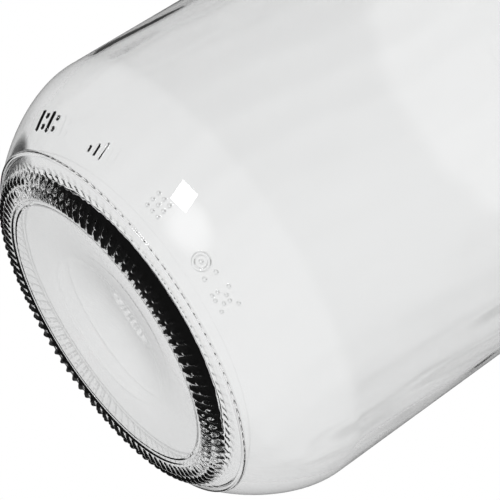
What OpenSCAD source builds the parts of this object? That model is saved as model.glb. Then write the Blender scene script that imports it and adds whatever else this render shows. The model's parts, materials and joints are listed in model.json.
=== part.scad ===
// Three litre glass milk bottle with a swing-top closure.
// Z is the bottle's axis and z = 0 is the plane that its base ribs stand on.
// The closure's thumb lever lies in front of the neck, towards -Y, and its pivots lie along X.

/* [Body] */
// Outside radius of the straight body
body_r = 75; // [60:0.5:90]
// Height at which the heel has turned into the straight body
heel_h = 36.5; // [30:0.5:44]
// Height at which the straight body turns into the shoulder
shoulder_z = 157; // [120:1:200]
// Thickness of the glass in the body and the shoulder
wall = 3.2; // [2.4:0.1:4]
// Thickness of the glass in the middle of the base
base_t = 6.4; // [4.5:0.1:8]

/* [Base] */
// Radius of the ring that the underside's curve starts from
stand_r = 47; // [43:0.1:49]
// Radius of that curve, from the ring out to the heel
under_round = 17; // [14:0.1:20]
// Angle at which the curve runs into the heel, in degrees
heel_angle = 36; // [32:1:40]
// How far the heel keeps to that angle
heel_reach = 9; // [6:0.2:12]
// How far the heel keeps to the upright of the body
heel_rise = 12.4; // [8:0.2:16]
// Width of the short flank inside the ring
flank_w = 0.8; // [0.6:0.1:2.4]
// Height of that flank
flank_h = 0.5; // [0.2:0.1:1.5]
// Height of the push-up in the middle of the base, above the flank
push_up = 5; // [2:0.1:7]
// Radius of the ring that the baffle of the mould left in the push-up
scar_r = 25.7; // [18:0.1:32]
// Depth of that ring
scar_d = 0.2; // [0.1:0.05:0.4]
// Radius at which the floor inside turns up into the heel
floor_r = 51.5; // [46:0.5:54]
// How far the floor keeps level beyond that radius
floor_reach = 4; // [3:0.5:14]
// How far the floor inside falls from its middle to that radius
floor_drop = 4.5; // [2:0.1:5]
// Height of the mould's parting line above the end of the underside's curve
parting_up = 2.4; // [1:0.1:4]
// Height of the fine ridge on that line
parting_h = 0.16; // [0.08:0.02:0.3]

/* [Bearing ribs] */
// Number of ribs round the base
rib_count = 96; // [48:1:110]
// Height of the ring's underside above the plane that the ribs stand on
rib_h = 0.5; // [0.3:0.05:0.8]
// Width of a rib at the ring
rib_w = 1.6; // [1:0.1:1.9]
// How far outside the ring a rib starts
rib_gap = 0.3; // [0.2:0.1:1.6]
// Length of the flat foot of a rib
foot_len = 3.4; // [2:0.1:4]
// Length of a rib, outwards from the ring
rib_len = 8.3; // [6.5:0.1:9.5]

/* [Shoulder and neck] */
// Radius of the outward curve of the shoulder
shoulder_round = 60; // [50:1:64]
// Radius of the inward curve from the shoulder to the neck
neck_round = 45; // [40:1:55]
// Outside radius of the neck
neck_r = 22.5; // [21.5:0.1:26]
// Length of the neck from the top of the shoulder to the top of the lip
neck_h = 48; // [44:1:60]
// Radius of the bore in the mouth
mouth_r = 17; // [14.5:0.1:17.6]
// Length of the mouth's bore
mouth_h = 26; // [20:1:34]
// Outside radius of the lip
lip_r = 24; // [23:0.1:25]
// Height of the lip's bead
lip_h = 10; // [8:0.5:11]
// Radius of the round on the top of the lip
lip_round = 2.6; // [1.5:0.1:3.2]
// Radius of the neck in the groove that the wire lies in
groove_r = 20.3; // [20:0.1:21]
// Height of the floor of that groove
groove_h = 4; // [3:0.5:5]

/* [Closure] */
// Diameter of the wire round the neck
neck_wire_d = 2.4; // [1.8:0.1:2.6]
// Diameter of the lever's wire
lever_wire_d = 2.8; // [2.2:0.1:3]
// Diameter of the bail's wire
bail_wire_d = 2.6; // [2:0.1:2.8]
// Radius to which the lever's wire is bent, at its middle line
wire_bend = 2.2; // [2:0.1:3]
// Radius of the bail's upper corners, at the wire's middle line
bail_bend = 5; // [4:0.5:7]
// Distance between the lever's pivot and the bail's pivot on it
crank = 9; // [8:0.5:10]
// Distance between the bail's two pivots
bail_len = 35; // [33:0.5:38]
// Length of the thumb lever from the bail's pivot to its cross bar
lever_len = 46; // [44:0.5:50]
// Angle between the closed lever and the neck, in degrees
lever_angle = 40; // [38:1:48]
// How far each arm of the lever runs inwards to the thumb loop
arm_inset = 18; // [15:0.3:21]
// Radius of the bends in the lever's arms, at the wire's middle line
arm_bend = 3.9; // [3:0.3:4.5]
// Length of the twisted ends of the neck wire
twist_len = 12; // [8:0.5:16]
// Radius of the gasket
gasket_r = 21; // [19.5:0.1:22]
// Thickness of the gasket
gasket_t = 3.5; // [2.5:0.1:4.5]
// Radius of the stopper's flange
flange_r = 19.5; // [18:0.1:21]
// Height of the stopper's flange
flange_h = 3.4; // [2.5:0.1:4.5]
// Radius of the stopper's domed head
head_r = 16; // [14:0.1:17]
// Height of the stopper's dome above its flange
head_h = 11.4; // [9.5:0.1:14]
// Radius of the stem that the gasket sits on
stem_r = 7; // [5:0.1:8.5]
// Radius of the knob that holds the gasket
knob_r = 10.5; // [9.6:0.1:11]
// Height of that knob
knob_h = 4.5; // [3.5:0.1:4.8]

/* [Hidden] */
$fn = 96;

// Clearances
pivot_gap = 0.1;   // round a wire that turns in an eye or a bore
side_gap = 0.1;    // beside an eye, along its pivot
seat_gap = 0.1;    // between the neck wire and the floor of its groove
gasket_gap = 0.3;  // between the resting gasket and the lip
pair_gap = 0.4;    // between the neck wire and its own eyes

// Heights
round_span = shoulder_round + neck_round;
round_dx = neck_r + neck_round - (body_r - shoulder_round);
round_dz = sqrt(round_span * round_span - round_dx * round_dx);
neck_z = shoulder_z + round_dz;
top_z = neck_z + neck_h;
seat_z = top_z + gasket_gap;
flange_z = seat_z + gasket_t;
stopper_pivot_z = flange_z + flange_h + bail_wire_d;
bail_pivot_z = stopper_pivot_z - bail_len;
lever_pivot_z = bail_pivot_z + crank;

// Places along the pivots, from the neck outwards
wire_r = neck_wire_d / 2;
ring_r = groove_r + seat_gap + wire_r;
eye_x = ring_r + wire_r + pair_gap + wire_r;
pin_x = eye_x - wire_r;
crank_x = eye_x + wire_r + side_gap + wire_bend;
bail_eye_r = bail_wire_d / 2 + 0.1;
bail_x = crank_x + wire_bend + side_gap + bail_eye_r;
arm_x = bail_x + bail_eye_r + side_gap + wire_bend;

// Curves: points on an arc, on a cubic curve, and on the two domed faces of the base
function arc(c, r, from, to, n = 16) = [
    for (i = [0 : n])
        let (a = from + (to - from) * i / n)
        [c[0] + r * cos(a), c[1] + r * sin(a)]
];
function cubic(p, n = 24) = [
    for (i = [0 : n])
        let (t = i / n, s = 1 - t)
        s * s * s * p[0] + 3 * s * s * t * p[1] + 3 * s * t * t * p[2] + t * t * t * p[3]
];
function dome(z, h, r, steps = 24) = [
    for (i = [0 : steps - 1])
        [r * i / steps, z + h * (1 + cos(180 * i / steps)) / 2]
];

// Outside of the glass, from the middle of the base to the top of the lip
flank_z = rib_h + flank_h;
scar_half = 0.5;
under = dome(flank_z, push_up, stand_r - flank_w);
scar_z = flank_z + push_up * (1 + cos(180 * scar_r / (stand_r - flank_w))) / 2;
scar = [
    [scar_r - scar_half, scar_z + push_up * 0.02],
    [scar_r, scar_z + scar_d],
    [scar_r + scar_half, scar_z - push_up * 0.02]
];
stand_line = arc([stand_r, rib_h + under_round], under_round, -90, heel_angle - 90, 12);
base_line = concat(
    [for (p = under) if (p[0] < scar_r - scar_half) p],
    scar,
    [for (p = under) if (p[0] > scar_r + scar_half) p],
    [[stand_r - flank_w, flank_z]],
    stand_line
);
heel_start = stand_line[len(stand_line) - 1];
heel_curve = cubic([
    heel_start,
    heel_start + heel_reach * [cos(heel_angle), sin(heel_angle)],
    [body_r, heel_h - heel_rise],
    [body_r, heel_h]
]);
heel_r = [for (p = heel_curve) [p[1], p[0]]];
parting_z = heel_start[1] + parting_up;
parting_half = 1.5 * parting_h;
heel_line = concat(
    [for (p = heel_curve) if (p[1] < parting_z - parting_half - 0.1) p],
    [
        [lookup(parting_z - parting_half, heel_r), parting_z - parting_half],
        [lookup(parting_z, heel_r) + parting_h, parting_z - parting_h],
        [lookup(parting_z + parting_half, heel_r), parting_z + parting_half]
    ],
    [for (p = heel_curve) if (p[1] > parting_z + parting_half + 0.1) p]
);
turn = acos(round_dx / round_span);
shoulder_c = [body_r - shoulder_round, shoulder_z];
neck_c = [neck_r + neck_round, neck_z];
groove_z = lever_pivot_z - groove_h / 2;
lip_z = top_z - lip_h;
lip_line = concat(
    [
        [neck_r, groove_z - (neck_r - groove_r)],
        [groove_r, groove_z],
        [groove_r, groove_z + groove_h],
        [lip_r - lip_round, lip_z]
    ],
    arc([lip_r - lip_round, lip_z + lip_round], lip_round, -60, 0, 6),
    arc([lip_r - lip_round, top_z - lip_round], lip_round, 0, 90, 8),
    arc([mouth_r + lip_round / 2, top_z - lip_round / 2], lip_round / 2, 90, 180, 6)
);

// Inside of the glass, from the mouth down to the middle of the floor
bore_z = top_z - mouth_h;
inner_neck_r = neck_r - wall;
floor_z = flank_z + push_up + base_t;
inside_line = concat(
    [[mouth_r, bore_z], [inner_neck_r, bore_z - 3 * (inner_neck_r - mouth_r) - 1]],
    arc(neck_c, neck_round + wall, 180, 180 + turn, 20),
    arc(shoulder_c, shoulder_round - wall, turn, 0, 20),
    cubic([
        [body_r - wall, heel_h + 4],
        [body_r - wall, heel_h - heel_rise - 1],
        [floor_r + floor_reach, floor_z - floor_drop],
        [floor_r, floor_z - floor_drop]
    ], 20),
    [
        for (i = [19 : -1 : 0])
            [floor_r * i / 20, floor_z - floor_drop * (1 - cos(180 * i / 20)) / 2]
    ]
);

module glass_bottle() {
    color("gainsboro", 0.35)
    union() {
        rotate_extrude()
            polygon(concat(
                base_line,
                [for (i = [1 : len(heel_line) - 1]) heel_line[i]],
                arc(shoulder_c, shoulder_round, 0, turn, 20),
                [for (i = [1 : 20]) arc(neck_c, neck_round, 180 + turn, 180, 20)[i]],
                lip_line,
                inside_line
            ));
        for (i = [0 : rib_count - 1])
            rotate([0, 0, 360 * i / rib_count])
                bearing_rib();
    }
}

// One rib: a bar across the underside's curve, whose foot is flat at z = 0 near the ring
rib_sink = 0.4;
rib_in_r = stand_r + rib_gap;
foot_in_r = rib_in_r + 0.5;
foot_out_r = foot_in_r + foot_len;
rib_out_r = rib_in_r + rib_len;
function under_z(r) = rib_h + under_round - sqrt(under_round * under_round - (r - stand_r) * (r - stand_r));
rib_fall = under_z(foot_out_r);
crest_end = rib_out_r - 1.6;
module bearing_rib() {
    wedge = rib_w / stand_r * 180 / PI;
    rotate([0, 0, -wedge / 2])
        rotate_extrude(angle = wedge)
            polygon(concat(
                [[rib_in_r, under_z(rib_in_r) + rib_sink], [rib_in_r, rib_h * 0.6], [foot_in_r, 0]],
                [
                    for (i = [0 : 4])
                        let (r = foot_out_r + (crest_end - foot_out_r) * i / 4)
                        [r, under_z(r) - rib_fall]
                ],
                [[crest_end + 1, under_z(crest_end + 1) - rib_fall / 2], [rib_out_r, under_z(rib_out_r) + 0.1]],
                [
                    for (i = [4 : -1 : 1])
                        let (r = rib_in_r + (rib_out_r - rib_in_r) * i / 4)
                        [r, under_z(r) + rib_sink]
                ]
            ));
}

// A straight piece of wire from a point along +X or down along -Z
module wire_x(d, len) {
    rotate([0, 90, 0])
        cylinder(d = d, h = len);
}
module wire_down(d, len) {
    translate([0, 0, -len])
        cylinder(d = d, h = len);
}
// A closed ring of wire round the X axis
module eye(d, inner_r) {
    rotate([0, 90, 0])
        rotate_extrude()
            translate([inner_r + d / 2, 0])
                circle(d = d);
}
// A bend of wire that starts at the origin, running down, and turns towards +X by an angle
module elbow(d, r, angle) {
    translate([r, 0, 0])
        rotate([-90, 0, 180])
            rotate_extrude(angle = angle)
                translate([r, 0])
                    circle(d = d);
}
// The same bend run the other way about: it starts along +X and turns down
module bend_down(d, r) {
    translate([r, 0, -r])
        mirror([1, 0, 0])
            mirror([0, 0, 1])
                elbow(d, r, 90);
}
module both_sides() {
    children();
    mirror([1, 0, 0])
        children();
}

module neck_wire() {
    color("silver")
    translate([0, 0, lever_pivot_z]) {
        rotate_extrude()
            translate([ring_r, 0])
                circle(d = neck_wire_d);
        both_sides()
            neck_eye();
        neck_twist();
    }
}
// An eye that the lever turns in, and the two stretches of wire that carry it
stem_y = lever_wire_d / 2 + pivot_gap + wire_r;
module neck_eye() {
    translate([eye_x, 0, 0])
        eye(neck_wire_d, lever_wire_d / 2 + pivot_gap);
    for (side = [-1, 1])
        translate([ring_r - wire_r, side * stem_y, 0])
            wire_x(neck_wire_d - 0.3, eye_x - ring_r + wire_r);
}
// The wire's two ends, twisted together and bent down behind the neck
strand_r = wire_r - 0.3;
strand_out = 0.9 * strand_r;
twist_y = neck_r + 2 * strand_r + 0.4;
twist_turns = 2.5;
function pair_r(a) = strand_out * abs(cos(a)) + sqrt(strand_r ^ 2 - (strand_out * sin(a)) ^ 2);
module neck_twist() {
    rotate([-90, 0, 0])
        translate([0, 0, ring_r])
            cylinder(d = neck_wire_d - 0.2, h = twist_y - ring_r);
    translate([0, twist_y, 0])
        sphere(d = neck_wire_d + 0.6);
    translate([0, twist_y, -twist_len])
        linear_extrude(twist_len, twist = 360 * twist_turns, slices = 12 * twist_turns, $fn = 12)
            polygon([for (a = [0 : 30 : 330]) pair_r(a) * [cos(a), sin(a)]]);
}

// The lever's arms run inwards on a slope of 3 across to 4 down, so all their corners have round coordinates
slope = acos(0.8);
slope_unit = round(arm_inset / 3 * 100) / 100;
arm_tangent = arm_bend / 3;
upper_run = round((lever_len - 4 * slope_unit) / 2 * 100) / 100;
thumb_x = arm_x - 3 * slope_unit;
thumb_z = -2 * upper_run - 4 * slope_unit;
module lever_wire() {
    color("silver")
    translate([0, 0, lever_pivot_z]) {
        both_sides()
            lever_crank();
        translate([0, 0, -crank]) {
            both_sides()
                translate([crank_x + wire_bend, 0, 0])
                    wire_x(lever_wire_d, arm_x - crank_x - 2 * wire_bend);
            rotate([-lever_angle, 0, 0]) {
                both_sides()
                    lever_arm();
                translate([arm_bend - thumb_x, 0, thumb_z])
                    wire_x(lever_wire_d, 2 * (thumb_x - arm_bend));
            }
        }
    }
}
// The pin in the neck wire's eye and the short crank below it
module lever_crank() {
    translate([pin_x, 0, 0])
        wire_x(lever_wire_d, crank_x - wire_bend - pin_x);
    translate([crank_x - wire_bend, 0, 0])
        bend_down(lever_wire_d, wire_bend);
    translate([crank_x, 0, -wire_bend])
        wire_down(lever_wire_d, crank - 2 * wire_bend);
    translate([crank_x, 0, wire_bend - crank])
        elbow(lever_wire_d, wire_bend, 90);
}
// One arm of the thumb lever: down, inwards on the slope, and down again to the cross bar
module lever_arm() {
    translate([arm_x - wire_bend, 0, 0])
        bend_down(lever_wire_d, wire_bend);
    translate([arm_x, 0, -wire_bend])
        wire_down(lever_wire_d, upper_run - wire_bend - arm_tangent);
    translate([arm_x, 0, arm_tangent - upper_run])
        mirror([1, 0, 0])
            elbow(lever_wire_d, arm_bend, slope);
    translate([arm_x, 0, -upper_run])
        rotate([0, slope, 0])
            translate([0, 0, -arm_tangent])
                wire_down(lever_wire_d, 5 * slope_unit - 2 * arm_tangent);
    translate([thumb_x, 0, thumb_z + upper_run - arm_tangent]) {
        mirror([0, 0, 1])
            elbow(lever_wire_d, arm_bend, slope);
        wire_down(lever_wire_d, upper_run - arm_bend - arm_tangent);
    }
    translate([thumb_x, 0, thumb_z + arm_bend])
        mirror([1, 0, 0])
            elbow(lever_wire_d, arm_bend, 90);
}

// The bail: an eye on each crank of the lever, two legs, and the bar through the stopper
bail_leg = bail_len - bail_bend - lever_wire_d / 2 - pivot_gap - bail_eye_r;
module bail_wire() {
    color("silver")
    translate([0, 0, stopper_pivot_z]) {
        both_sides() {
            translate([bail_x, 0, -bail_len])
                eye(2 * bail_eye_r, lever_wire_d / 2 + pivot_gap);
            translate([bail_x, 0, -bail_bend])
                wire_down(bail_wire_d, bail_leg);
            translate([bail_x - bail_bend, 0, 0])
                bend_down(bail_wire_d, bail_bend);
        }
        translate([bail_bend - bail_x, 0, 0])
            wire_x(bail_wire_d, 2 * (bail_x - bail_bend));
    }
}

// Porcelain stopper: knob, stem, flange and domed head, bored across for the bail
module stopper() {
    color("ivory")
    difference() {
        rotate_extrude()
            polygon(concat(
                [[0, seat_z - knob_h]],
                arc([knob_r - 2, seat_z - knob_h + 2], 2, -90, 0, 6),
                [[knob_r, seat_z], [stem_r, seat_z], [stem_r, flange_z], [flange_r, flange_z]],
                arc([flange_r - 1.2, flange_z + flange_h - 1.2], 1.2, 0, 90, 6),
                [
                    for (i = [0 : 16])
                        let (a = 90 * i / 16)
                        [head_r * cos(a), flange_z + flange_h + head_h * sin(a)]
                ]
            ));
        translate([-flange_r, 0, stopper_pivot_z])
            wire_x(bail_wire_d + 2 * pivot_gap, 2 * flange_r);
    }
}

// Rubber gasket: a flat ring with rounded edges
gasket_round = 1;
module gasket() {
    color("firebrick")
    rotate_extrude()
        polygon(concat(
            [[stem_r + seat_gap, seat_z], [gasket_r - gasket_round, seat_z]],
            arc([gasket_r - gasket_round, seat_z + gasket_round], gasket_round, -90, 0, 4),
            arc([gasket_r - gasket_round, flange_z - gasket_round], gasket_round, 0, 90, 4),
            [[stem_r + seat_gap, flange_z]]
        ));
}

glass_bottle();
neck_wire();
lever_wire();
bail_wire();
stopper();
gasket();
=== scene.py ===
"""Looks of the glass milk bottle and its swing-top closure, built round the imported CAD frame.

The glass is one fine lathe mesh: the outside with its base ribs and heel marks, and the inside.
The bottle's and the camera's sizes are in millimetres, as in the CAD source, and MM turns them into
scene units, which are metres. Materials, floor, world and lamps are given in scene units.
"""

import json
import math

import bpy
import numpy as np
from mathutils import Matrix, Vector

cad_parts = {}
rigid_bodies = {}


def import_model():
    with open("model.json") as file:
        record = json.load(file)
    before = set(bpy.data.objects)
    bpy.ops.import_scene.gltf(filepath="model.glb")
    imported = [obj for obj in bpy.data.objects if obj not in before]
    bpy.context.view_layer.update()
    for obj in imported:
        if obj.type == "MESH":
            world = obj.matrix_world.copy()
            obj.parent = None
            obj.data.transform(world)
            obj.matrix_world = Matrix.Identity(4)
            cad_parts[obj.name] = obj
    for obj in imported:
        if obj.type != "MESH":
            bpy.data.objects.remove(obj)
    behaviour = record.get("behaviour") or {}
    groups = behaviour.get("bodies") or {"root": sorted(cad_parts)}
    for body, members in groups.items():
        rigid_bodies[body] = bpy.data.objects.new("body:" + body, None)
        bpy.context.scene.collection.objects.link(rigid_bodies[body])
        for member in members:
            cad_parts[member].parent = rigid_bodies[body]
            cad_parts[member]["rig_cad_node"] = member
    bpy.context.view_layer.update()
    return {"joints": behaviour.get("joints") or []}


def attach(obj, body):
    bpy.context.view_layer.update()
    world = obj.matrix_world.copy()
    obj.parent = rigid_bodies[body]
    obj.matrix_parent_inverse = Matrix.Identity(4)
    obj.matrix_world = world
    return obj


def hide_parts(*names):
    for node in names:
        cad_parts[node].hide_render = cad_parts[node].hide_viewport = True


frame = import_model()

MM = 0.001

# ---------------------------------------------------------------- sizes of the glass, from the CAD source
BODY_R = 75.0
HEEL_H = 36.5  # height at which the heel meets the straight wall
INNER_HEEL_H = HEEL_H + 4  # and at which it does so inside
SHOULDER_Z = 157.0
WALL = 3.2
BASE_T = 6.4  # thickness of the base at its middle
STAND_R = 47.0  # inner edge of the ring that the bottle stands on
UNDER_ROUND = 17.0  # radius of the curve from that ring out to the heel
HEEL_ANGLE = 36.0  # slope at which that curve ends, in degrees
HEEL_REACH = 9.0  # length of the handle that the heel's cubic curve starts with, along that slope
HEEL_RISE = 12.4  # and of the upright handle that it ends with
FLANK_W = 0.8  # the short steep step inside the standing ring
FLANK_H = 0.5
PUSH_UP = 5.0
SCAR_R = 25.7  # the fine ring pressed into the underside of the base
SCAR_RISE = 0.12
SCAR_WIDE = 0.45
FLOOR_R = 51.5  # the floor inside the bottle, which is highest in the middle
FLOOR_DROP = 4.5
FLOOR_REACH = 4.0  # length of the level handle with which the inside curve meets the floor
RIB_COUNT = 96
RIB_H = 0.5  # height of the ribs at their inner ends
PAD_OUT_R = 51.2  # outer end of the ribs' flat feet
RIB_OUT_R = 55.6  # outer end of the ribs
PARTING_Z = 6.15  # height of the ridge where the parts of the mould met
SHOULDER_ROUND = 60.0
NECK_ROUND = 45.0
NECK_R = 22.5
NECK_H = 48.0
MOUTH_R = 17.0
MOUTH_H = 26.0  # depth of the mouth's narrower bore
BORE_TAPER = 3  # drop of the cone below it for each millimetre that it widens, with 1 mm added
LIP_R = 24.0
LIP_H = 10.0
LIP_ROUND = 2.6
GROOVE_R = 20.3  # the groove in the neck
GROOVE_H = 4.0

ROUND_SPAN = SHOULDER_ROUND + NECK_ROUND
ROUND_DX = NECK_R + NECK_ROUND - (BODY_R - SHOULDER_ROUND)
TURN = math.degrees(math.acos(ROUND_DX / ROUND_SPAN))
NECK_Z = SHOULDER_Z + math.sqrt(ROUND_SPAN**2 - ROUND_DX**2)
TOP_Z = NECK_Z + NECK_H

# ---------------------------------------------------------------- mesh resolution
COARSE = 384  # points round a plain ring
FINE = 4 * COARSE  # points round a ring that crosses the ribs or the heel marks
STEP = 1.6  # longest step along the plain profile
FINE_STEP = 0.27  # and along the fine one
FINE_TOP = 18.6  # height up to which the rings are fine
FINE_R = STAND_R - FLANK_W - 1  # radius under the base beyond which they are fine
FLANK_POINTS = 15  # points across the flank inside the standing ring
CAP_R = 0.4  # radius of the small flat face in the middle, under the base and on the floor


def arc(centre, radius, start, end, count):
    """Points on an arc between two angles in degrees."""
    a = np.radians(np.linspace(start, end, count + 1))
    return np.c_[centre[0] + radius * np.cos(a), centre[1] + radius * np.sin(a)]


def cubic(p, count):
    """Points on the cubic curve with these four control points."""
    t = np.linspace(0, 1, count + 1)[:, None]
    p = np.array(p)
    return (1 - t) ** 3 * p[0] + 3 * (1 - t) ** 2 * t * p[1] + 3 * (1 - t) * t**2 * p[2] + t**3 * p[3]


def smooth(edge0, edge1, x):
    """0 up to edge0, 1 from edge1 on, and an even step between them."""
    t = np.clip((x - edge0) / (edge1 - edge0), 0, 1)
    return t * t * (3 - 2 * t)


def bump_at(x, centre, wide):
    """A smooth bump of height 1 round centre."""
    return np.exp(-(((x - centre) / wide) ** 2))


def run_of(line):
    """Distance along a line, from its first point."""
    return np.r_[0, np.cumsum(np.hypot(*np.diff(line, axis=0).T))]


def slopes_of(line):
    """Direction of a line at each of its points."""
    slopes = np.gradient(line, run_of(line), axis=0)
    return slopes / np.hypot(*slopes.T)[:, None]


def resample(line, step):
    """The same line with even steps no longer than step."""
    run = run_of(line)
    at = np.linspace(0, run[-1], max(2, math.ceil(run[-1] / step) + 1))
    return np.c_[np.interp(at, run, line[:, 0]), np.interp(at, run, line[:, 1])]


def push_up_z(r):
    """Underside of the base inside the ring that it stands on: a low dome above a short steep flank."""
    dome = PUSH_UP * (1 + np.cos(np.pi * np.minimum(r / (STAND_R - FLANK_W), 1))) / 2
    return RIB_H + dome + FLANK_H * (1 - smooth(STAND_R - FLANK_W, STAND_R, r))


def under_z(r):
    """Height of the underside's curve, from the ring that it starts from out to the heel."""
    return RIB_H + UNDER_ROUND - np.sqrt(UNDER_ROUND ** 2 - (r - STAND_R) ** 2)


def joint_height(name):
    """Height of a joint's axis, in millimetres."""
    joint = next(j for j in frame["joints"] if j["name"] == name)
    return joint["pos_m"][2] / MM


def outside_parts():
    """The outer profile in three stretches: under the base, over the ribs and heel marks, and the rest."""
    r = np.linspace(CAP_R, FINE_R, 60)
    under = np.c_[r, push_up_z(r) + SCAR_RISE * bump_at(r, SCAR_R, SCAR_WIDE)]
    r = np.linspace(FINE_R, STAND_R, FLANK_POINTS)[:-1]
    curve = arc((STAND_R, RIB_H + UNDER_ROUND), UNDER_ROUND, -90, HEEL_ANGLE - 90, 400)
    start = curve[-1]
    lean = np.array([math.cos(math.radians(HEEL_ANGLE)), math.sin(math.radians(HEEL_ANGLE))])
    heel = cubic([start, start + HEEL_REACH * lean, (BODY_R, HEEL_H - HEEL_RISE), (BODY_R, HEEL_H)], 600)
    low = heel[heel[:, 1] <= FINE_TOP]
    fine = np.vstack([np.c_[r, push_up_z(r)], resample(np.vstack([curve, low[1:]]), FINE_STEP)])
    high = resample(np.vstack([low[-1:], heel[heel[:, 1] > FINE_TOP]]), STEP)[1:]
    lip_z = TOP_Z - LIP_H
    groove_z = joint_height("lever_pivot") - GROOVE_H / 2
    rest = np.vstack([
        high,
        resample(np.array([[BODY_R, HEEL_H], [BODY_R, SHOULDER_Z]]), 4)[1:-1],
        resample(arc((BODY_R - SHOULDER_ROUND, SHOULDER_Z), SHOULDER_ROUND, 0, TURN, 200), STEP),
        resample(arc((NECK_R + NECK_ROUND, NECK_Z), NECK_ROUND, 180 + TURN, 180, 200), STEP)[1:],
        # The groove, with each corner cut by a few tenths
        np.array([
            [NECK_R, groove_z - (NECK_R - GROOVE_R) - 0.3],
            [NECK_R - 0.3, groove_z - (NECK_R - GROOVE_R) + 0.2],
            [GROOVE_R + 0.2, groove_z],
            [GROOVE_R, groove_z + 0.4],
            [GROOVE_R, groove_z + GROOVE_H - 0.3],
            [GROOVE_R + 0.2, groove_z + GROOVE_H + 0.2],
        ]),
        arc((LIP_R - LIP_ROUND, lip_z + LIP_ROUND), LIP_ROUND, -60, 0, 8),
        arc((LIP_R - LIP_ROUND, TOP_Z - LIP_ROUND), LIP_ROUND, 0, 90, 12),
        arc((MOUTH_R + LIP_ROUND / 2, TOP_Z - LIP_ROUND / 2), LIP_ROUND / 2, 90, 180, 10),
    ])
    return under, fine, rest


def inside_part():
    """The inner profile, from the mouth down to the middle of the floor."""
    bore_z = TOP_Z - MOUTH_H
    inner = NECK_R - WALL
    floor_z = RIB_H + FLANK_H + PUSH_UP + BASE_T
    neck_c = (NECK_R + NECK_ROUND, NECK_Z)
    shoulder_c = (BODY_R - SHOULDER_ROUND, SHOULDER_Z)
    heel = cubic([
        (BODY_R - WALL, INNER_HEEL_H),
        (BODY_R - WALL, HEEL_H - HEEL_RISE - 1),
        (FLOOR_R + FLOOR_REACH, floor_z - FLOOR_DROP),
        (FLOOR_R, floor_z - FLOOR_DROP),
    ], 300)
    r = np.linspace(FLOOR_R, CAP_R, 40)[1:]
    return np.vstack([
        resample(np.array([[MOUTH_R, TOP_Z - 2 * LIP_ROUND], [MOUTH_R, bore_z]]), 3),
        [[inner, bore_z - BORE_TAPER * (inner - MOUTH_R) - 1]],
        resample(arc(neck_c, NECK_ROUND + WALL, 180, 180 + TURN, 200), STEP),
        resample(arc(shoulder_c, SHOULDER_ROUND - WALL, TURN, 0, 200), STEP)[1:],
        resample(np.array([[BODY_R - WALL, SHOULDER_Z], [BODY_R - WALL, INNER_HEEL_H]]), 4)[1:-1],
        resample(heel, 1.0),
        np.c_[r, floor_z - FLOOR_DROP * (1 - np.cos(np.pi * r / FLOOR_R)) / 2],
    ])


# ---------------------------------------------------------------- relief on the outside and the inside
RIB_START = (0.2, 0.9)  # distances past STAND_R over which the ribs set in
RIB_FADE = 2.0  # length over which they die out at their outer ends
RIB_SIDE = (0.04, 0.36)  # shares of the pitch, from a rib's middle to the top and foot of its side
RIB_DIP_R = 51.6  # each rib stands out less here, just past its foot
RIB_DIP_WIDE = 0.8
RIB_DIP = 0.6  # share of the rib's height
PARTING_RISE = 0.42
PARTING_WIDE = 0.30
CHILL = 0.02  # height of the unevenness round the ribs
CHILL_OUT = (56, 58)  # radii over which it dies out
WAVE_START = (12, 40)  # heights over which the unevenness of the inner wall sets in


def rib_relief(r, z, theta):
    """How far the ribs stand below the curve of the base, at a radius and a height and round the ring."""
    depth = np.minimum(z, under_z(PAD_OUT_R))
    along = smooth(STAND_R + RIB_START[0], STAND_R + RIB_START[1], r)
    along = along * (1 - smooth(RIB_OUT_R - RIB_FADE, RIB_OUT_R, r))
    along = along * (1 - RIB_DIP * bump_at(r, RIB_DIP_R, RIB_DIP_WIDE))
    turn = (theta * RIB_COUNT / (2 * np.pi)) % 1.0
    across = 1 - smooth(*RIB_SIDE, np.minimum(turn, 1 - turn))
    return depth * along * across


def parting_relief(z):
    """The fine ridge where the base plate of the mould met its sides."""
    return PARTING_RISE * bump_at(z, PARTING_Z, PARTING_WIDE)


def chill_relief(r, theta):
    """Unevenness of the glass round the ribs, which cooled first where it met the base plate."""
    around = np.sin(70 * theta + 3 * np.sin(1.1 * r) + 2 * np.sin(9 * theta))
    outward = np.sin(1.7 * r + 2 * np.sin(31 * theta))
    return CHILL * around * outward * (1 - smooth(*CHILL_OUT, r))


def inner_wave(theta, z):
    """Unevenness of the inner wall, as in blown glass: slow waves and fine streaks up the wall."""
    fade = smooth(*WAVE_START, z) * (1 - smooth(SHOULDER_Z, NECK_Z, z))
    slow = 0.22 * np.sin(2 * theta + 0.6) + 0.12 * np.sin(3 * theta - 1.1 + z / 60)
    streaks = 0.055 * np.sin(31 * theta + 2 * np.sin(z / 22))
    streaks = streaks + 0.07 * np.sin(11 * theta) * np.sin(z / 6 + 2.3 * np.sin(5 * theta))
    wave = slow + streaks + 0.06 * np.sin(7 * theta + z / 35)
    wave = wave + 0.05 * np.sin(z / 9 + 1.3 * np.sin(theta))
    return fade * wave


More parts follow.
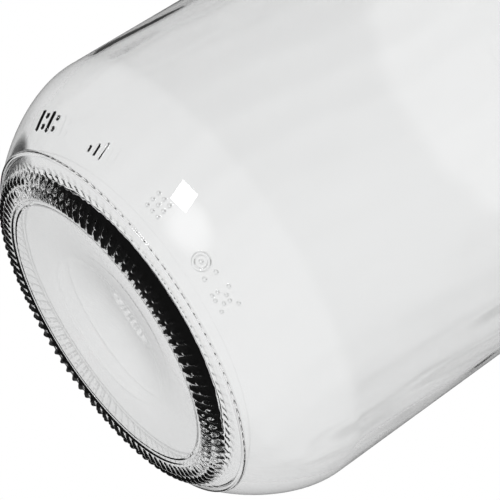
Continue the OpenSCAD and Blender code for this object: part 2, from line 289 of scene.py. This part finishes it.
# ---------------------------------------------------------------- the lathe
def lathe(line, slopes, count, relief=None):
    """Points and normals of a profile turned round Z, shifted by what relief(line, slopes, theta) gives."""
    theta = np.arange(count) * 2 * np.pi / count
    cos, sin = np.cos(theta), np.sin(theta)
    r, z = line[:, 0:1], line[:, 1:2]
    points = np.stack([r * cos, r * sin, np.broadcast_to(z, (len(line), count))], axis=-1)
    along = np.stack([slopes[:, 0:1] * cos, slopes[:, 0:1] * sin, slopes[:, 1:2] * np.ones(count)], axis=-1)
    if relief is not None:
        shift = relief(line, slopes, theta)
        offset = np.stack([shift[..., 0] * cos, shift[..., 0] * sin, shift[..., 1]], axis=-1)
        points = points + offset
        along = along + np.gradient(offset, run_of(line), axis=0)
    around = np.roll(points, -1, axis=1) - np.roll(points, 1, axis=1)
    normals = np.cross(around, along)
    normals /= np.linalg.norm(normals, axis=-1, keepdims=True)
    return points, normals


def base_relief(line, slopes, theta):
    """Ribs, parting line, unevenness and heel marks, as a shift in radius and height.

    Nothing is moved below the floor.
    """
    run = run_of(line)
    mark_at = np.interp(MARK_LOW, line[FLANK_POINTS:, 1], run[FLANK_POINTS:])
    shift = np.zeros((len(line), len(theta), 2))
    for i, (r, z) in enumerate(line):
        rise = heel_relief(run[i] - mark_at, theta)
        if r > STAND_R:
            rise = rise + parting_relief(z) + chill_relief(r, theta)
        shift[i, :, 0] = slopes[i, 1] * rise
        shift[i, :, 1] = np.maximum(-slopes[i, 0] * rise - rib_relief(r, z, theta), -z)
    return shift


def inner_relief(line, slopes, theta):
    """Unevenness of the inside, as a shift in radius and height."""
    wave = inner_wave(theta[None, :], line[:, 1:2])
    return np.stack([wave, np.zeros_like(wave)], axis=-1)


def glass_bands():
    """The rings of the glass in bands: under the base, up the outside, and back down the inside."""
    under, fine, rest = outside_parts()
    slopes = slopes_of(np.vstack([under, fine, rest]))
    cuts = np.cumsum([len(under), len(fine)])
    inside = inside_part()
    return [
        lathe(under, slopes[:cuts[0]], COARSE),
        lathe(fine, slopes[cuts[0]:cuts[1]], FINE, base_relief),
        lathe(rest, slopes[cuts[1]:], COARSE),
        lathe(inside, slopes_of(inside), COARSE, inner_relief),
    ]


def ring_faces(counts):
    """Faces between rings with these numbers of points, and a flat face on the first and the last ring."""
    starts = [0, *np.cumsum(counts).tolist()]
    faces = [tuple(range(COARSE - 1, -1, -1))]
    for start, count, count_up in zip(starts, counts, counts[1:]):
        faces.extend(bridge(start, start + count, count, count_up))
    last = starts[-2]
    faces.append(tuple(range(last, last + COARSE)))
    return faces


def build_glass():
    """The glass, as one closed mesh with its own normals."""
    bands = glass_bands()
    verts = np.vstack([points.reshape(-1, 3) for points, _ in bands])
    normals = np.vstack([turned.reshape(-1, 3) for _, turned in bands])
    faces = ring_faces([len(ring) for points, _ in bands for ring in points])
    mesh = bpy.data.meshes.new("glass_bottle_fine")
    mesh.from_pydata((verts * MM).tolist(), [], faces)
    if signed_volume(mesh) < 0:
        mesh.flip_normals()
    mesh.polygons.foreach_set("use_smooth", [True] * len(mesh.polygons))
    mesh.normals_split_custom_set_from_vertices(normals.tolist())
    mesh.update()
    obj = bpy.data.objects.new("clear_glass", mesh)
    bpy.context.scene.collection.objects.link(obj)
    return obj


def bridge(a, b, na, nb):
    """Faces between ring a of na points and ring b of nb points, where one may be four times the other."""
    if na == nb:
        return [(a + i, a + (i + 1) % na, b + (i + 1) % na, b + i) for i in range(na)]
    if nb > na:
        k = nb // na
        return [
            (a + i, a + (i + 1) % na, *[b + (k * i + m) % nb for m in range(k, -1, -1)]) for i in range(na)
        ]
    k = na // nb
    return [(*[a + (k * i + m) % na for m in range(k + 1)], b + (i + 1) % nb, b + i) for i in range(nb)]


def signed_volume(mesh):
    """Volume inside a closed mesh, which is below zero where its faces point inwards."""
    mesh.calc_loop_triangles()
    v = np.empty(len(mesh.vertices) * 3)
    mesh.vertices.foreach_get("co", v)
    v = v.reshape(-1, 3)
    t = np.empty(len(mesh.loop_triangles) * 3, dtype=np.int32)
    mesh.loop_triangles.foreach_get("vertices", t)
    a, b, c = v[t.reshape(-1, 3)].transpose(1, 0, 2)
    return float(np.einsum("ij,ij->i", a, np.cross(b, c)).sum() / 6)


# ---------------------------------------------------------------- heel marks: dots, bars and a ring
CAMERA_AZIMUTH = -90.0  # the camera looks at the bottle from -Y
MARK_LOW = 11.1  # height of the marks' lower edge
MARK_RISE = 0.5
MARK_R = 66.4  # radius of the heel at the middle of the marks
MARK_BAND = (-1, 8.5)  # distances up the profile, from MARK_LOW, between which there are marks
MARK_EDGE = 0.18  # half the width of a mark's sloping side


def disc(s, t, s0, t0, radius):
    """A dot, s0 up the profile and t0 along the circle."""
    return 1 - smooth(radius - MARK_EDGE, radius + MARK_EDGE, np.hypot(s - s0, t - t0))


def bar(s, t, s0, s1, t0, half):
    """An upright bar from s0 to s1 along the profile, at t0 along the circle."""
    nearest = np.clip(s, s0, s1)
    return 1 - smooth(half - MARK_EDGE, half + MARK_EDGE, np.hypot(s - nearest, t - t0))


def hoop(s, t, s0, t0, radius, half):
    """A ring of that radius, half being half the width of its line."""
    return 1 - smooth(half - MARK_EDGE, half + MARK_EDGE, abs(np.hypot(s - s0, t - t0) - radius))


def heel_relief(s, theta):
    """Rise of the marks above the heel, at a distance s up the profile from their lower edge."""
    rise = np.zeros_like(theta)
    if not MARK_BAND[0] < s < MARK_BAND[1]:
        return rise
    deg = (np.degrees(theta) - CAMERA_AZIMUTH + 180) % 360 - 180
    t = np.radians(deg) * MARK_R
    for centre, shapes in MARK_GROUPS:
        t0 = math.radians(centre) * MARK_R
        for kind, *numbers in shapes:
            if kind == "dot":
                s1, dt, radius = numbers
                rise = np.maximum(rise, disc(s, t, s1, t0 + dt, radius))
            elif kind == "bar":
                s1, s2, dt, half = numbers
                rise = np.maximum(rise, bar(s, t, s1, s2, t0 + dt, half))
            else:
                s1, dt, radius, half = numbers
                rise = np.maximum(rise, hoop(s, t, s1, t0 + dt, radius, half))
    return MARK_RISE * rise


# Angle in degrees from the camera's side, and the marks there, which are generic and spell nothing: for
# each kind the numbers that heel_relief reads, which are millimetres up the heel and along it
MARK_GROUPS = [
    (-67.0, [("bar", 0.8, 6.2, -5.4, 0.6), ("dot", 1.6, -2.0, 0.75), ("dot", 5.2, -2.0, 0.75),
             ("bar", 0.8, 6.2, 1.2, 0.6), ("dot", 1.6, 4.6, 0.75), ("dot", 5.2, 4.6, 0.75)]),
    (-43.0, [("bar", 1.0, 1.0 + rise, t, 0.5) for rise, t in ((1.2, -2.6), (3.0, 0.0), (4.8, 2.6))]),
    (-19.0, [("dot", s, t, 0.55) for s in (1.2, 3.5, 5.8) for t in (-2.4, 0.0, 2.4)]),
    (-0.5, [("hoop", 3.5, -1.4, 2.3, 0.45), ("dot", 3.5, -1.4, 0.6), ("dot", 1.6, 3.2, 0.6),
            ("dot", 5.4, 3.2, 0.6)]),
    (8.5, [("dot", s, t, 0.5) for s, t in ((1.0, -2.2), (2.8, -2.2), (6.4, -2.2), (1.0, -0.4), (4.6, -0.4),
                                           (2.8, 1.4), (4.6, 1.4), (6.4, 3.2), (1.0, 3.2))]),
]


# ---------------------------------------------------------------- materials
GLASS_TINT = (0.965, 0.968, 0.968, 1)
GLASS_IOR = 1.52
GLASS_NOISE = 38.0  # scale of its slight waviness
GLASS_BUMP = 0.06
GLASS_BUMP_HEIGHT = 0.002
SPECKLE_RAMP = (0.35, 0.7)  # noise at which a speckled surface has its first and its second colour
SPECKLE_BUMP = 0.4


def new_material(name):
    """A material with its nodes, its links and its shader."""
    material = bpy.data.materials.new(name)
    material.use_nodes = True
    nodes = material.node_tree.nodes
    return material, nodes, material.node_tree.links, nodes["Principled BSDF"]


def glass_material():
    """Clear glass with a slight waviness."""
    material, nodes, links, shader = new_material("clear_glass")
    shader.inputs["Base Color"].default_value = GLASS_TINT
    shader.inputs["Roughness"].default_value = 0.0
    shader.inputs["IOR"].default_value = GLASS_IOR
    shader.inputs["Transmission Weight"].default_value = 1.0
    noise = nodes.new("ShaderNodeTexNoise")
    noise.inputs["Scale"].default_value = GLASS_NOISE
    noise.inputs["Detail"].default_value = 1.5
    bump = nodes.new("ShaderNodeBump")
    bump.inputs["Strength"].default_value = GLASS_BUMP
    bump.inputs["Distance"].default_value = GLASS_BUMP_HEIGHT
    coords = nodes.new("ShaderNodeTexCoord")
    links.new(coords.outputs["Object"], noise.inputs["Vector"])
    links.new(noise.outputs["Fac"], bump.inputs["Height"])
    links.new(bump.outputs["Normal"], shader.inputs["Normal"])
    return material


def speckled(name, color_a, color_b, scale, roughness, bump_height, metallic=0.0, coat=0.0):
    """A surface whose colour, roughness and height vary with fine noise."""
    material, nodes, links, shader = new_material(name)
    coords = nodes.new("ShaderNodeTexCoord")
    noise = nodes.new("ShaderNodeTexNoise")
    noise.inputs["Scale"].default_value = scale
    noise.inputs["Detail"].default_value = 6.0
    ramp = nodes.new("ShaderNodeValToRGB")
    for stop, position, color in zip(ramp.color_ramp.elements, SPECKLE_RAMP, (color_a, color_b)):
        stop.position = position
        stop.color = (*color, 1)
    rough = nodes.new("ShaderNodeMapRange")
    rough.inputs["To Min"].default_value = roughness[0]
    rough.inputs["To Max"].default_value = roughness[1]
    bump = nodes.new("ShaderNodeBump")
    bump.inputs["Strength"].default_value = SPECKLE_BUMP
    bump.inputs["Distance"].default_value = bump_height
    links.new(coords.outputs["Object"], noise.inputs["Vector"])
    links.new(noise.outputs["Fac"], ramp.inputs["Fac"])
    links.new(noise.outputs["Fac"], rough.inputs["Value"])
    links.new(noise.outputs["Fac"], bump.inputs["Height"])
    links.new(ramp.outputs["Color"], shader.inputs["Base Color"])
    links.new(rough.outputs["Result"], shader.inputs["Roughness"])
    links.new(bump.outputs["Normal"], shader.inputs["Normal"])
    shader.inputs["Metallic"].default_value = metallic
    shader.inputs["Coat Weight"].default_value = coat
    return material


# ---------------------------------------------------------------- camera
# The camera stands below the base and looks up at it, turned well to one side
CAMERA_AT = (0.0, -595.5, -196.1)
CAMERA_RIGHT = (0.54851, -0.32854, 0.76889)  # direction of the picture's right
CAMERA_UP = (-0.83613, -0.21028, 0.50662)  # and of its upper side
CAMERA_LENS = 148.73


def make_camera():
    """The camera, with its up direction made square to its right one."""
    data = bpy.data.cameras.new("camera")
    data.lens = CAMERA_LENS
    data.sensor_width = 36.0
    data.clip_start = 0.02
    data.clip_end = 20.0
    camera = bpy.data.objects.new("camera", data)
    right = Vector(CAMERA_RIGHT).normalized()
    up = Vector(CAMERA_UP)
    up = (up - up.dot(right) * right).normalized()
    back = right.cross(up)
    turn = Matrix((right, up, back)).transposed().to_4x4()
    camera.matrix_world = Matrix.Translation(Vector(CAMERA_AT) * MM) @ turn
    bpy.context.scene.collection.objects.link(camera)
    bpy.context.scene.camera = camera


# ---------------------------------------------------------------- floor, world and lamps
class NodeKit:
    """Short ways to add nodes to an emptied tree. Each input takes a socket or a plain value."""

    def __init__(self, tree):
        self.nodes = tree.nodes
        self.links = tree.links
        self.nodes.clear()

    def put(self, socket, value):
        if isinstance(value, bpy.types.NodeSocket):
            self.links.new(value, socket)
        elif socket.type == "RGBA" and isinstance(value, float):
            socket.default_value = (value, value, value, 1)
        else:
            socket.default_value = value

    def math(self, operation, a, b):
        node = self.nodes.new("ShaderNodeMath")
        node.operation = operation
        self.put(node.inputs[0], a)
        self.put(node.inputs[1], b)
        return node.outputs[0]

    def vector(self, operation, a, output, b=None):
        node = self.nodes.new("ShaderNodeVectorMath")
        node.operation = operation
        self.put(node.inputs[0], a)
        if b is not None:
            self.put(node.inputs[1], b)
        return node.outputs[output]

    def remap(self, value, low=0.0, high=1.0, to_low=0.0, to_high=1.0, kind="SMOOTHSTEP"):
        """The value taken from low..high to to_low..to_high."""
        node = self.nodes.new("ShaderNodeMapRange")
        node.interpolation_type = kind
        for name, number in (("From Min", low), ("From Max", high), ("To Min", to_low), ("To Max", to_high)):
            node.inputs[name].default_value = number
        self.put(node.inputs["Value"], value)
        return node.outputs["Result"]

    def blend(self, factor, a, b):
        """Colour a where the factor is 0 and colour b where it is 1; a number stands for a grey."""
        node = self.nodes.new("ShaderNodeMix")
        node.data_type = "RGBA"
        self.put(node.inputs["Factor"], factor)
        self.put(node.inputs["A"], a)
        self.put(node.inputs["B"], b)
        return node.outputs["Result"]

    def mix_shaders(self, factor, a, b):
        node = self.nodes.new("ShaderNodeMixShader")
        self.put(node.inputs["Fac"], factor)
        self.put(node.inputs[1], a)
        self.put(node.inputs[2], b)
        return node.outputs[0]


FLOOR_HALF = 30.0  # from the middle of the floor to its edge
FLOOR_Z = -0.0002
FLOOR_GREY = 0.86
FADE_FROM = 0.35  # distances from the bottle's axis over which the floor fades into white
FADE_TO = 2.2


def make_floor():
    """A pale floor that is solid from above and open from below, and fades to white away from the bottle."""
    mesh = bpy.data.meshes.new("floor")
    corners = [(x * FLOOR_HALF, y * FLOOR_HALF, FLOOR_Z) for x, y in ((-1, -1), (1, -1), (1, 1), (-1, 1))]
    mesh.from_pydata(corners, [], [(0, 1, 2, 3)])
    floor = bpy.data.objects.new("floor", mesh)
    bpy.context.scene.collection.objects.link(floor)
    material = bpy.data.materials.new("floor")
    material.use_nodes = True
    kit = NodeKit(material.node_tree)
    diffuse = kit.nodes.new("ShaderNodeBsdfDiffuse")
    kit.put(diffuse.inputs["Color"], FLOOR_GREY)
    coords = kit.nodes.new("ShaderNodeTexCoord")
    path = kit.nodes.new("ShaderNodeLightPath")
    distance = kit.vector("LENGTH", coords.outputs["Object"], "Value")
    white = kit.nodes.new("ShaderNodeEmission")
    bounced = path.outputs["Is Diffuse Ray"]
    kit.put(white.inputs["Strength"], kit.remap(bounced, to_low=1.0, to_high=DIFFUSE_LIGHT, kind="LINEAR"))
    faded = kit.mix_shaders(kit.remap(distance, FADE_FROM, FADE_TO), diffuse.outputs[0], white.outputs[0])
    # A ray that came up through the floor finds it open again on its way back down
    passed = kit.math("GREATER_THAN", path.outputs["Transparent Depth"], 0.5)
    side = kit.nodes.new("ShaderNodeNewGeometry")
    is_open = kit.math("MAXIMUM", side.outputs["Backfacing"], passed)
    clear = kit.nodes.new("ShaderNodeBsdfTransparent")
    out = kit.nodes.new("ShaderNodeOutputMaterial")
    kit.put(out.inputs["Surface"], kit.mix_shaders(is_open, faded, clear.outputs[0]))
    mesh.materials.append(material)


# Brightness of the studio seen through the glass, by azimuth in degrees from +Y towards +X: a pale wall
# behind the bottle, and dark felt at the sides and behind the camera
STUDIO_SIDES = [
    (-180, 0.14), (-95, 0.10), (-62, 0.22), (-46, 0.62), (-35, 0.66), (-22, 0.86), (-8, 0.93), (4, 1.0),
    (10, 0.97), (21, 0.72), (28, 0.70), (38, 0.86), (50, 0.74), (66, 0.30), (95, 0.10), (180, 0.14),
]
STUDIO_LOW = 0.9  # brightness all round below the horizon
SIDES_FROM = 0.0  # sine of the elevation at which the sides start to show
SIDES_FULL = 0.3  # and at which they show in full
FELT_AT = (-0.27, 0.94, -0.22)  # way to a small dark card, low behind the bottle
FELT_WIDE = 9  # degrees from its middle to its edge
FELT_EDGE = 2.5  # half the width of its soft edge, in degrees
FELT_GREY = 0.02
MIRRORED = 0.12  # brightness of the room in reflections
GLOW = 2.8  # brightness of a soft glow in reflections
GLOW_FROM = (-0.31, -0.67, -0.65)  # way to it
GLOW_WIDE = 16  # degrees from its middle to its edge
DIFFUSE_LIGHT = 0.62  # light on rough surfaces


def cosine(degrees):
    """Cosine of an angle in degrees."""
    return math.cos(math.radians(degrees))


def make_world():
    """White to the camera, an even light for rough surfaces, and a studio with dark sides for the glass."""
    world = bpy.data.worlds.new("studio")
    bpy.context.scene.world = world
    world.use_nodes = True
    kit = NodeKit(world.node_tree)
    path = kit.nodes.new("ShaderNodeLightPath")
    way = kit.nodes.new("ShaderNodeTexCoord").outputs["Generated"]
    axes = kit.nodes.new("ShaderNodeSeparateXYZ")
    kit.put(axes.inputs[0], way)

    turn = kit.math("ARCTAN2", axes.outputs["X"], axes.outputs["Y"])
    ramp = kit.nodes.new("ShaderNodeValToRGB")
    kit.put(ramp.inputs["Fac"], kit.math("ADD", kit.math("DIVIDE", turn, 2 * math.pi), 0.5))
    ramp.color_ramp.interpolation = "EASE"
    stops = ramp.color_ramp.elements
    while len(stops) < len(STUDIO_SIDES):
        stops.new(0.5)
    for stop, (azimuth, value) in zip(stops, STUDIO_SIDES):
        stop.position = azimuth / 360 + 0.5
        stop.color = (value, value, value, 1)
    height = kit.remap(axes.outputs["Z"], SIDES_FROM, SIDES_FULL)
    walls = kit.blend(height, STUDIO_LOW, ramp.outputs["Color"])

    to_felt = kit.vector("DOT_PRODUCT", way, "Value", Vector(FELT_AT).normalized())
    felt = kit.remap(to_felt, cosine(FELT_WIDE + FELT_EDGE), cosine(FELT_WIDE - FELT_EDGE))
    to_glow = kit.vector("DOT_PRODUCT", way, "Value", Vector(GLOW_FROM).normalized())
    glow = kit.remap(to_glow, cosine(GLOW_WIDE), 1.0, MIRRORED, GLOW)

    clear = kit.blend(path.outputs["Is Reflection Ray"], kit.blend(felt, walls, FELT_GREY), glow)
    rough = kit.blend(path.outputs["Is Diffuse Ray"], clear, DIFFUSE_LIGHT)
    shown = kit.nodes.new("ShaderNodeBackground")
    kit.put(shown.inputs["Color"], kit.blend(path.outputs["Is Camera Ray"], rough, 1.0))
    out = kit.nodes.new("ShaderNodeOutputWorld")
    kit.put(out.inputs["Surface"], shown.outputs[0])


def area_lamp(name, at, target, size, power):
    """A rectangular lamp that shows in reflections but not through the glass."""
    data = bpy.data.lights.new(name, "AREA")
    data.shape = "RECTANGLE"
    data.size, data.size_y = size
    data.energy = power
    lamp = bpy.data.objects.new(name, data)
    lamp.location = at
    lamp.rotation_mode = "QUATERNION"
    lamp.rotation_quaternion = (Vector(at) - Vector(target)).to_track_quat("Z", "Y")
    lamp.visible_transmission = False
    bpy.context.scene.collection.objects.link(lamp)


def node_object(node):
    """The CAD object of a node."""
    return next(o for o in bpy.context.scene.objects if o.get("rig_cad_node") == node)


def paint(node, material):
    """Give a CAD object its material."""
    mesh = node_object(node).data
    mesh.materials.clear()
    mesh.materials.append(material)


make_camera()
glass = build_glass()
glass.data.materials.append(glass_material())
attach(glass, "bottle")
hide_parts("glass_bottle")

wire = speckled(
    "drawn_wire", (0.50, 0.50, 0.51), (0.66, 0.66, 0.66),
    scale=900, roughness=(0.18, 0.34), bump_height=0.00003, metallic=1.0,
)
porcelain = speckled(
    "glazed_porcelain", (0.84, 0.83, 0.80), (0.88, 0.87, 0.85),
    scale=60, roughness=(0.12, 0.2), bump_height=0.00005, coat=0.5,
)
rubber = speckled(
    "red_rubber", (0.34, 0.045, 0.03), (0.42, 0.06, 0.04),
    scale=700, roughness=(0.55, 0.75), bump_height=0.00006,
)
for name in ("neck_wire", "lever_wire", "bail_wire"):
    paint(name, wire)
paint("stopper", porcelain)
paint("gasket", rubber)

make_floor()
make_world()
area_lamp("key", at=(-0.72, -0.8, 1.65), target=(0, 0, 0.15), size=(0.8, 0.8), power=22)
area_lamp(
    "window", at=(-1.036, -1.447, -1.014), target=(-0.02, -0.067, 0.018), size=(0.34, 0.46), power=7
)

bpy.context.scene.view_settings.view_transform = "Standard"
